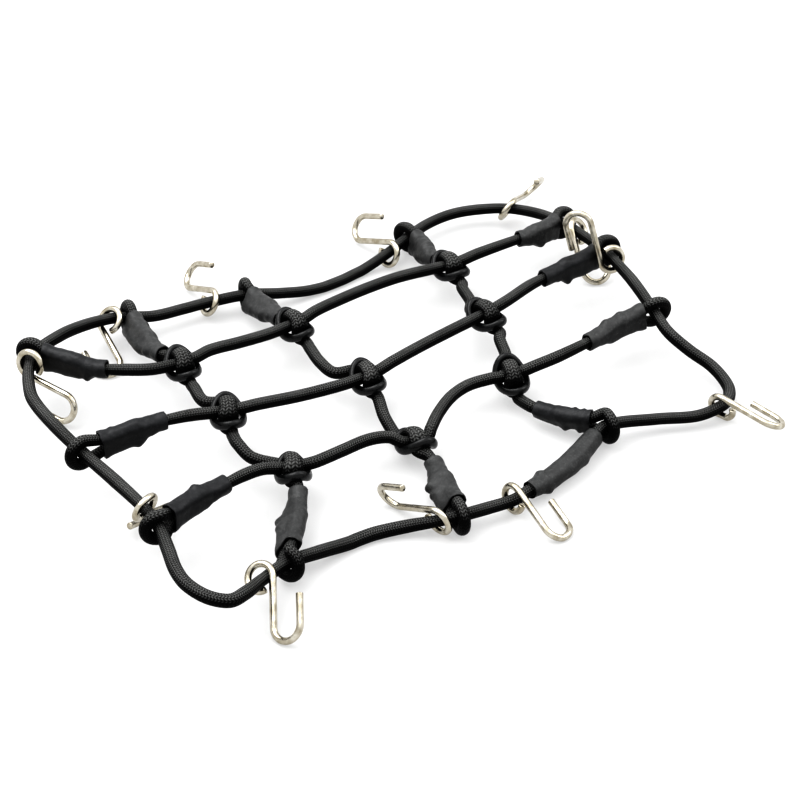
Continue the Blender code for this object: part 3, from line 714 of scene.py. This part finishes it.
def shrink_material(name, light):
    """Dark grey shrunk tubing: matt, faintly pebbled, with more or less dust on it, and painted
    light on what faces up.
    """
    made, tree, shader = new_material(name)
    place = node(tree, "ShaderNodeTexCoord").outputs["Object"]
    fine = texture(tree, place, 5200.0, 4.0, Roughness=0.65)
    soft = texture(tree, place, 420.0, 4.0, Roughness=0.6, Distortion=0.6)
    scuff = texture(tree, place, 1500.0, 6.0, Roughness=0.75)
    shade = math_node(tree, "MULTIPLY_ADD", scuff, 0.45, math_node(tree, "MULTIPLY", soft, 0.55))
    # painted light: the tubing is lighter where it faces up, as if lit from above
    shade = math_node(tree, "MULTIPLY", shade, math_node(
        tree, "MULTIPLY_ADD", painted_top_light_mask(tree, -0.3, 0.9), 0.7, 0.3))
    speck = texture(tree, place, 2300.0, 2.0)
    speck = node(tree, "ShaderNodeMapRange", Value=speck, From_Min=0.54,
                 From_Max=0.72).outputs[0]
    shade = math_node(tree, "MULTIPLY_ADD", speck, SPECKS, shade)
    colour = ramp(tree, shade, (0.1, SHRINK_DARK), (0.75, light))
    tree.links.new(colour, shader.inputs["Base Color"])
    shader.inputs["Specular IOR Level"].default_value = 0.35
    rough = math_node(tree, "MULTIPLY_ADD", soft, 0.3, 0.30)
    tree.links.new(rough, shader.inputs["Roughness"])
    height = math_node(tree, "MULTIPLY_ADD", fine, 0.3, math_node(tree, "MULTIPLY", soft, 1.6))
    emboss(tree, shader, height, 0.5, 0.00012)
    return made


def rubber_material():
    """Black rubber with a slight gloss and fine moulded unevenness."""
    made, tree, shader = new_material("black_rubber")
    place = node(tree, "ShaderNodeTexCoord").outputs["Object"]
    soft = texture(tree, place, 700.0, 3.0)
    fine = texture(tree, place, 4000.0, 3.0)
    colour = ramp(tree, soft, (0.3, RUBBER_DARK), (0.8, RUBBER_LIGHT))
    tree.links.new(colour, shader.inputs["Base Color"])
    rough = math_node(tree, "MULTIPLY_ADD", soft, 0.25, 0.14)
    tree.links.new(rough, shader.inputs["Roughness"])
    height = math_node(tree, "MULTIPLY_ADD", fine, 0.2, soft)
    emboss(tree, shader, height, 0.3, 0.0001)
    shader.inputs["Specular IOR Level"].default_value = 0.38
    return made


def wire_material():
    """Bright nickel-plated wire with faint draw marks and small dull spots."""
    made, tree, shader = new_material("nickel_wire")
    shader.inputs["Metallic"].default_value = 1.0
    uv = node(tree, "ShaderNodeUVMap", {"uv_map": "along_around"}).outputs["UV"]
    stretched = node(tree, "ShaderNodeVectorMath", {"operation": "MULTIPLY"},
                     i0=uv, i1=(14.0, 0.5, 1.0)).outputs[0]
    drawn = texture(tree, stretched, 2.0, 3.0)
    place = node(tree, "ShaderNodeTexCoord").outputs["Object"]
    spots = texture(tree, place, 600.0, 4.0)
    colour = ramp(tree, spots, (0.3, WIRE_WARM), (0.7, WIRE_BRIGHT))
    tree.links.new(colour, shader.inputs["Base Color"])
    rough = math_node(tree, "MULTIPLY_ADD", spots, 0.16, 0.14)
    tree.links.new(rough, shader.inputs["Roughness"])
    emboss(tree, shader, drawn, 0.12, 0.00005)
    return made


# --- pieces -------------------------------------------------------------------------

PLUMP = 0.5                          # share of a waist that is filled up again

def fuller(sizes, whole):
    """Eases the places where a cord is drawn thin, so that they don't show as waists."""
    return [size + PLUMP * (whole - size) for size in sizes]


def dress_edge_cord(made_of):
    points = [Vector(row[1:4]) for row in EDGE_ROUTE]
    line, sizes = smooth_line(points, [row[4] for row in EDGE_ROUTE], CORD_STEP, True)
    sizes = fuller(sizes, EDGE_R)
    line = [Vector((point.x, point.y, max(point.z, size))) for point, size in zip(line, sizes)]
    cord = rod("edge_cord_braid", line, sizes, CORD_SIDES, made_of, closed=True,
               braid=BRAID_DEPTH)
    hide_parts("edge_cord")


def dress_inner_cords(made_of):
    for name in (*LONG_ROUTES, *CROSS_ROUTES):
        points, radii = inner_cord_line(name)
        line, sizes = smooth_line(points, radii, CORD_STEP)
        sizes = fuller(sizes, CORD_R)
        widths = None
        if name in CROSS_ROUTES:
            line, widths = press_humps(name, line)
        cord = rod(name + "_braid", line, sizes, CORD_SIDES, made_of,
                   braid=BRAID_DEPTH, widths=widths)
        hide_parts(name + "_cord")


# A cross cord's shape on its way over a long cord, with what lies towards the front first.
HUMP_SHAPE = (
    # across the long cord, spread along it, thickness, shift along it, sinking
    (-5.0, 1.0, 1.0, 0.0, 0.0),
    (-4.2, 1.1, 1.0, 0.0, 0.0),
    (-3.2, 1.95, 1.0, -0.65, 0.0),
    (-2.2, 1.95, 0.95, -0.5, 0.1),
    (-0.8, 1.55, 0.85, -0.3, 0.3),
    (0.8, 1.45, 0.85, -0.2, 0.3),
    (2.2, 1.5, 0.95, -0.1, 0.1),
    (4.6, 1.3, 1.0, 0.0, 0.0),
    (6.0, 1.0, 1.0, 0.0, 0.0),
)
HUMP_REACH = 7.0                     # mm from the middle of a crossing
HUMP_FOOT, HUMP_RISE = -2.6, 1.2     # mm over the long cord's axis: where the spread starts


def between(rows, place):
    """A table's values at a place in its first column, eased, or None past its ends."""
    for before, after in zip(rows, rows[1:]):
        if before[0] <= place <= after[0]:
            part = (place - before[0]) / (after[0] - before[0])
            part = part * part * (3.0 - 2.0 * part)
            return [low + (high - low) * part for low, high in zip(before[1:], after[1:])]
    return None


def press_humps(name, line):
    """Moves a cross cord's humps as it presses on the long cords, and how it spreads."""
    humps = [crossing_frame(name, long_name) for long_name in LONG_ROUTES]
    moved, widths = [], []
    for point in line:
        found = None
        for middle, along, across, above in humps:
            off = point - middle
            shape = between(HUMP_SHAPE, off.dot(across)) if off.length < HUMP_REACH else None
            if shape:
                spread, thick, shift, sinking = shape
                held = (off.dot(above) - HUMP_FOOT) / HUMP_RISE
                held = min(1.0, max(0.0, held))
                point = point + along * shift * held - above * sinking
                found = ((along, 1.0 + (spread - 1.0) * held), (above, thick))
                break
        moved.append(point)
        widths.append(found)
    return moved, widths


SLEEVE_STEPS, SLEEVE_FACETS = 90, 48
UNDER, OVER = (-0.4, -0.5, -0.8), (0.4, 0.5, 0.8)
LEFTWARD, RIGHTWARD = (-0.8, 0.6, 0.0), (0.8, -0.6, 0.0)
AHEAD, BEHIND = (0.15, -0.75, -0.65), (-0.15, 0.75, 0.65)

# Lumps of a sleeve over the cut tail inside it: share of its length from the loop,
# the way it stands out, how far in mm, and its length as a share.
LUMPS = {
    "long_1_left": ((0.72, UNDER, 0.75, 0.05), (0.35, UNDER, 0.2, 0.1)),
    "long_1_right": ((0.48, UNDER, 0.75, 0.07), (0.7, OVER, 0.2, 0.05)),
    "long_2_left": ((0.52, UNDER, 0.8, 0.07), (0.2, OVER, 0.25, 0.04)),
    "long_2_right": ((0.58, UNDER, 0.8, 0.06), (0.3, UNDER, 0.25, 0.08)),
    "long_3_left": ((0.52, OVER, 0.75, 0.05), (0.42, RIGHTWARD, 0.3, 0.06)),
    "long_3_right": ((0.63, OVER, 0.55, 0.05), (0.36, OVER, 0.6, 0.06)),
    "cross_1_back": ((0.22, RIGHTWARD, 0.5, 0.05), (0.76, LEFTWARD, 0.7, 0.05)),
    "cross_1_front": ((0.46, LEFTWARD, 0.85, 0.06), (0.34, LEFTWARD, 0.4, 0.04)),
    "cross_2_back": ((0.45, RIGHTWARD, 0.45, 0.06), (0.8, LEFTWARD, 0.4, 0.06)),
    "cross_2_front": ((0.5, LEFTWARD, 0.85, 0.05), (0.34, LEFTWARD, 0.45, 0.04)),
    "cross_3_back": ((0.5, LEFTWARD, 0.3, 0.08),),
    "cross_3_front": ((0.45, UNDER, 0.6, 0.06), (0.2, UNDER, 0.35, 0.04),
                      (0.3, OVER, 0.3, 0.035), (0.15, OVER, 0.3, 0.03)),
    "splice": ((0.3, AHEAD, 0.35, 0.05), (0.6, AHEAD, -0.2, 0.07),
               (0.8, AHEAD, 0.5, 0.035), (0.82, BEHIND, 0.4, 0.035),
               (0.8, OVER, 0.25, 0.03), (0.96, AHEAD, -0.25, 0.07),
               (0.96, BEHIND, -0.25, 0.07)),
}
LUMP_NARROW = 4                      # power of the angle: how pointed a lump is
FOLD_AT, FOLD_REACH, FOLD_DEPTH = 2.1, 0.5, 0.2   # behind each lump, as shares of it
STATION_REACH = 0.08                 # share of a sleeve's length
END_REACH = 0.03                     # the same, for what its ends do
END_DIP, END_RAGGED = 0.05, 0.22     # mm that an end turns in, and that its rim wanders
SHOULDER = 3.0                       # how soon the section turns from its flat side
WAIST, WAIST_REACH, WAIST_FROM = 0.12, 0.7, 0.2   # mm deep and high, and least cosine
SWELL, RIPPLE = 0.13, 0.06           # mm of slow and of fine unevenness
SPLICE_SEED = 40


def level_station(station, share):
    """A sleeve's station with its direction taken over a short reach either way."""
    point, _, side, above = station(share)
    before = station(max(share - STATION_REACH, 0.0))[0]
    after = station(min(share + STATION_REACH, 1.0))[0]
    direction = (after - before).normalized()
    side = (side - direction * side.dot(direction)).normalized()
    above = (above - direction * above.dot(direction) - side * above.dot(side)).normalized()
    return point, direction, side, above


def shrunk_tube(name, node_name, station, sections, seed, lumps, made_of):
    """Shrunk tubing: a thin closed shell that follows the cords inside it."""
    shift = Vector((seed * 7.3, seed * 3.1, seed * 5.7))
    outer, inner = [], []
    for step in range(SLEEVE_STEPS + 1):
        share = step / SLEEVE_STEPS
        point, direction, side, above = level_station(station, share)
        half_height, half_width = between(sections, share)
        near_end = math.exp(-(min(share, 1 - share) / END_REACH) ** 2)
        ring, core = [], []
        for facet in range(SLEEVE_FACETS):
            angle = 2 * math.pi * facet / SLEEVE_FACETS
            cos, sin = math.cos(angle), math.sin(angle)
            corner = half_height - half_width
            across = half_width * cos
            up = half_width * sin + corner * max(-1.0, min(1.0, sin * SHOULDER))
            waist = WAIST * min(1.0, corner) * math.exp(-(up / WAIST_REACH) ** 2)
            across -= math.copysign(waist, cos) if abs(cos) > WAIST_FROM else 0.0
            off = side * across + above * up
            out = (side * cos + above * sin).normalized()
            swell = SWELL * noise.noise(shift + Vector((cos, sin, share * 3.5)) * 1.1)
            swell += RIPPLE * noise.noise(
                shift + Vector((cos * 2.2, sin * 2.2, share * 11.0)))
            for place, way, height, reach in lumps:
                facing = max(0.0, out.dot(Vector(way).normalized())) ** LUMP_NARROW
                swell += height * facing * math.exp(-((share - place) / reach) ** 2)
                fold = math.exp(-((share - place - FOLD_AT * reach) / (FOLD_REACH * reach)) ** 2)
                swell -= FOLD_DEPTH * height * facing * fold
            swell -= END_DIP * near_end
            ragged = near_end * END_RAGGED * noise.noise(shift + Vector((cos, sin, 3.0)) * 1.6)
            ring.append((point + off + out * swell + direction * ragged - ORIGIN) * MM)
            core.append((point + off + out * (swell - SLEEVE_WALL) + direction * ragged
                         - ORIGIN) * MM)
        outer.append(ring)
        inner.append(core)
    verts = [vert for ring in outer + inner for vert in ring]
    faces, uvs = [], []
    half = (SLEEVE_STEPS + 1) * SLEEVE_FACETS

    def corner_of(layer, step, facet):
        return layer * half + step * SLEEVE_FACETS + facet % SLEEVE_FACETS

    for facet in range(SLEEVE_FACETS):
        near, far = facet / SLEEVE_FACETS, (facet + 1) / SLEEVE_FACETS
        for step in range(SLEEVE_STEPS):
            for layer in (0, 1):
                quad = [corner_of(layer, step, facet), corner_of(layer, step, facet + 1),
                        corner_of(layer, step + 1, facet + 1), corner_of(layer, step + 1, facet)]
                faces.append(tuple(quad if layer == 0 else quad[::-1]))
                uvs += [(near, step), (far, step), (far, step + 1), (near, step + 1)]
        for step, order in ((0, -1), (SLEEVE_STEPS, 1)):
            quad = [corner_of(0, step, facet), corner_of(0, step, facet + 1),
                    corner_of(1, step, facet + 1), corner_of(1, step, facet)]
            faces.append(tuple(quad[::order]))
            uvs += [(near, 0), (far, 0), (far, 1), (near, 1)]
    shell = mesh_object(name, verts, faces, uvs, made_of)
    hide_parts(node_name)


DUSTY = ("cross_1_back", "cross_1_front", "cross_2_back", "cross_2_front", "cross_3_back",
         "long_1_right", "long_3_right")


def dress_sleeves(clean, dusty):
    seed = 1
    for name, stops in (*LONG_ROUTES.items(), *CROSS_ROUTES.items()):
        points, radii = (middle_of_long if name in LONG_ROUTES else middle_of_cross)(name)
        fine, _ = fill_line(points, radii, 1.0)
        for place, line in ((stops[0], fine), (stops[-1], fine[::-1])):
            shrunk_tube(place + "_tubing", place + "_sleeve",
                        lambda share, place=place, line=line: sleeve_station(place, line, share),
                        SLEEVE_SECTIONS, seed, LUMPS[place], dusty if place in DUSTY else clean)
            seed += 1


SPLICE_REACH = 2                     # mm that the tube reaches towards the loop beside it


def dress_splice(made_of):
    names = [row[0] for row in EDGE_ROUTE]
    first = names.index("splice_end")
    points = [Vector(row[1:4]) for row in EDGE_ROUTE]
    line, _ = fill_line(points[first - 1:first + 5], [EDGE_R] * 6, 1.0)
    start = min(range(len(line)), key=lambda i: (line[i] - points[first]).length)
    end = min(range(len(line)), key=lambda i: (line[i] - points[first + 3]).length)
    line = line[start - SPLICE_REACH:end + 1]
    length = sum((after - before).length for before, after in zip(line, line[1:]))

    def station(share):
        point, direction = walk(line, share * length)
        return (point, direction, *upright(direction))

    shrunk_tube("splice_tubing", "splice_sleeve", station, SPLICE_SECTIONS,
                SPLICE_SEED, LUMPS["splice"], made_of)


BAND_R, BAND_ALONG, BAND_ACROSS = 0.80, 3.0, 4.25    # a rubber ring as it is stretched
CROWDED = {("cross_2", "long_3"): (3.1, 3.8, -0.45)}   # along, across, middle height
BAND_MID, BAND_TALL = -0.95, 1.3     # its height under the long cord; taller than thick


def dress_rings(made_of):
    for cross_name, long_name in CROSSINGS:
        middle, along, across, above = crossing_frame(cross_name, long_name)
        reach_along, reach_across, level = CROWDED.get(
            (cross_name, long_name), (BAND_ALONG, BAND_ACROSS, BAND_MID))
        points = []
        for step in range(RING_STEPS):
            turn = 2 * math.pi * step / RING_STEPS
            height = level - RING_SADDLE * math.cos(2 * turn)
            points.append(middle + along * reach_along * math.cos(turn)
                          + across * reach_across * math.sin(turn) + above * height)
        line, sizes = smooth_line(points, [BAND_R] * RING_STEPS, RUBBER_STEP, True)
        name = f"ring_{cross_name}_{long_name}"
        ring = rod(name + "_rubber", line, sizes, RUBBER_SIDES, made_of, closed=True,
                   widths=[((above, BAND_TALL),)] * len(line))
        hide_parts(name)


WIRE_FULL_R = 0.70                   # a hook's wire with its plating
EYE_FINE, BEND_FINE = 36, 22         # steps round a hook's eye and its bend
SHANK_STEPS, TIP_STEPS = (0.1, 0.3, 0.5, 0.7, 0.9), (0.33, 0.66, 1.0)   # shares of each
WIRE_END = 0.18                      # mm over which the wire's ends are rounded


def fine_hook_line(centre, heading, slope, eye_turn, bend_turn):
    """Wire of one S-hook: round its eye, along the shank, round the bend to the tip."""
    heading, slope = math.radians(heading), math.radians(slope)
    along = Vector((math.cos(slope) * math.cos(heading),
                    math.cos(slope) * math.sin(heading), math.sin(slope)))
    side, above = upright(along)

    def turned(degrees):
        return side * math.cos(math.radians(degrees)) + above * math.sin(math.radians(degrees))

    eye_side, bend_side = turned(eye_turn), turned(bend_turn)
    points = []
    for step in range(EYE_FINE):
        angle = math.radians(EYE_TURN * (1 - step / EYE_FINE))
        points.append(centre + (eye_side * math.cos(angle) - along * math.sin(angle)) * EYE_R)
    base = centre + eye_side * EYE_R
    corner = base + along * (HOOK_REACH - BEND_R)
    points.append(base)
    shank = (corner - base).length
    points += [base + along * shank * part for part in SHANK_STEPS]
    for step in range(BEND_FINE + 1):
        angle = math.pi * step / BEND_FINE
        points.append(corner + bend_side * BEND_R * (1 - math.cos(angle))
                      + along * BEND_R * math.sin(angle))
    tip = base + bend_side * 2 * BEND_R + along * (HOOK_REACH - TIP_LENGTH)
    points += [points[-1].lerp(tip, part) for part in TIP_STEPS]
    return points


def dress_hooks(made_of):
    places = edge_places()
    for place, x, y, z, *pose in HOOKS:
        points = fine_hook_line(places[place][0] + Vector((x, y, z)), *pose)
        line, sizes = smooth_line(points, [WIRE_FULL_R] * len(points), WIRE_STEP)
        line = [Vector((point.x, point.y, max(point.z, WIRE_FULL_R))) for point in line]
        hook = rod(place + "_wire", line, sizes, WIRE_SIDES, made_of,
                   round_ends=WIRE_END)
        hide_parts(place)


# --- the set ------------------------------------------------------------------------

FLOOR_SIZE = 3.0                     # metres
FLOOR_GLOW = 0.31                    # the floor's own light, which whitens its shadows
WORLD_STRENGTH = 0.76
LIGHTS = (
    # name, place in metres, size in metres, watts
    ("key_softbox", (-0.25, 0.35, 0.75), 0.85, 4.4),
    ("fill_softbox", (0.6, -0.3, 0.6), 0.6, 1.6),
    ("top_softbox", (0.0, 0.0, 0.9), 1.5, 4.0),
)
CAMERA_TURN, CAMERA_DIP = 37.5, 37.5          # degrees right of +Y, and below level
CAMERA_REACH, FOCAL_PIXELS = 430.0, 2107.0    # mm to the target, pixels
FRAME_PIXELS, SENSOR = 800.0, 36.0
TARGET = Vector((0.0, 0.0, 6.0))


def make_set():
    made, tree, shader = new_material("pale_floor")
    place = node(tree, "ShaderNodeTexCoord").outputs["Object"]
    grain = texture(tree, place, 40.0, 3.0)
    colour = ramp(tree, grain, (0.2, FLOOR_DARK), (0.8, FLOOR_LIGHT))
    tree.links.new(colour, shader.inputs["Base Color"])
    shader.inputs["Roughness"].default_value = 0.7
    shader.inputs["Emission Color"].default_value = (1.0, 1.0, 1.0, 1.0)
    shader.inputs["Emission Strength"].default_value = FLOOR_GLOW
    half = FLOOR_SIZE / 2
    mesh = bpy.data.meshes.new("floor")
    mesh.from_pydata([(-half, -half, 0), (half, -half, 0), (half, half, 0), (-half, half, 0)],
                     [], [(0, 1, 2, 3)])
    mesh.materials.append(made)
    floor = bpy.data.objects.new("floor", mesh)
    bpy.context.scene.collection.objects.link(floor)
    for name, where, size, watts in LIGHTS:
        light = bpy.data.lights.new(name, "AREA")
        light.shape = "DISK"
        light.size = size
        light.energy = watts
        lamp = bpy.data.objects.new(name, light)
        lamp.location = where
        lamp.rotation_euler = (-Vector(where)).to_track_quat("-Z", "Y").to_euler()
        bpy.context.scene.collection.objects.link(lamp)
    world = bpy.data.worlds.new("studio")
    world.use_nodes = True
    world.node_tree.nodes["Background"].inputs["Color"].default_value = (1, 1, 1, 1)
    world.node_tree.nodes["Background"].inputs["Strength"].default_value = WORLD_STRENGTH
    bpy.context.scene.world = world
    bpy.context.scene.view_settings.view_transform = "Standard"
    bpy.context.scene.view_settings.look = "Very High Contrast"


def make_camera():
    turn, dip = math.radians(CAMERA_TURN), math.radians(CAMERA_DIP)
    view = Vector((math.sin(turn) * math.cos(dip), math.cos(turn) * math.cos(dip),
                   -math.sin(dip)))
    data = bpy.data.cameras.new("camera")
    data.sensor_width = SENSOR
    data.lens = FOCAL_PIXELS * SENSOR / FRAME_PIXELS
    data.clip_start = 0.01
    camera = bpy.data.objects.new("camera", data)
    camera.location = (TARGET - view * CAMERA_REACH - ORIGIN) * MM
    camera.rotation_euler = view.to_track_quat("-Z", "Y").to_euler()
    bpy.context.scene.collection.objects.link(camera)
    bpy.context.scene.camera = camera


def main():
    make_camera()
    make_set()
    braid = braid_material()
    clean = shrink_material("heat_shrink", SHRINK_CLEAN)
    dusty = shrink_material("dusty_heat_shrink", SHRINK_DUSTY)
    dress_edge_cord(braid)
    dress_inner_cords(braid)
    dress_sleeves(clean, dusty)
    dress_splice(dusty)
    dress_rings(rubber_material())
    dress_hooks(wire_material())


main()
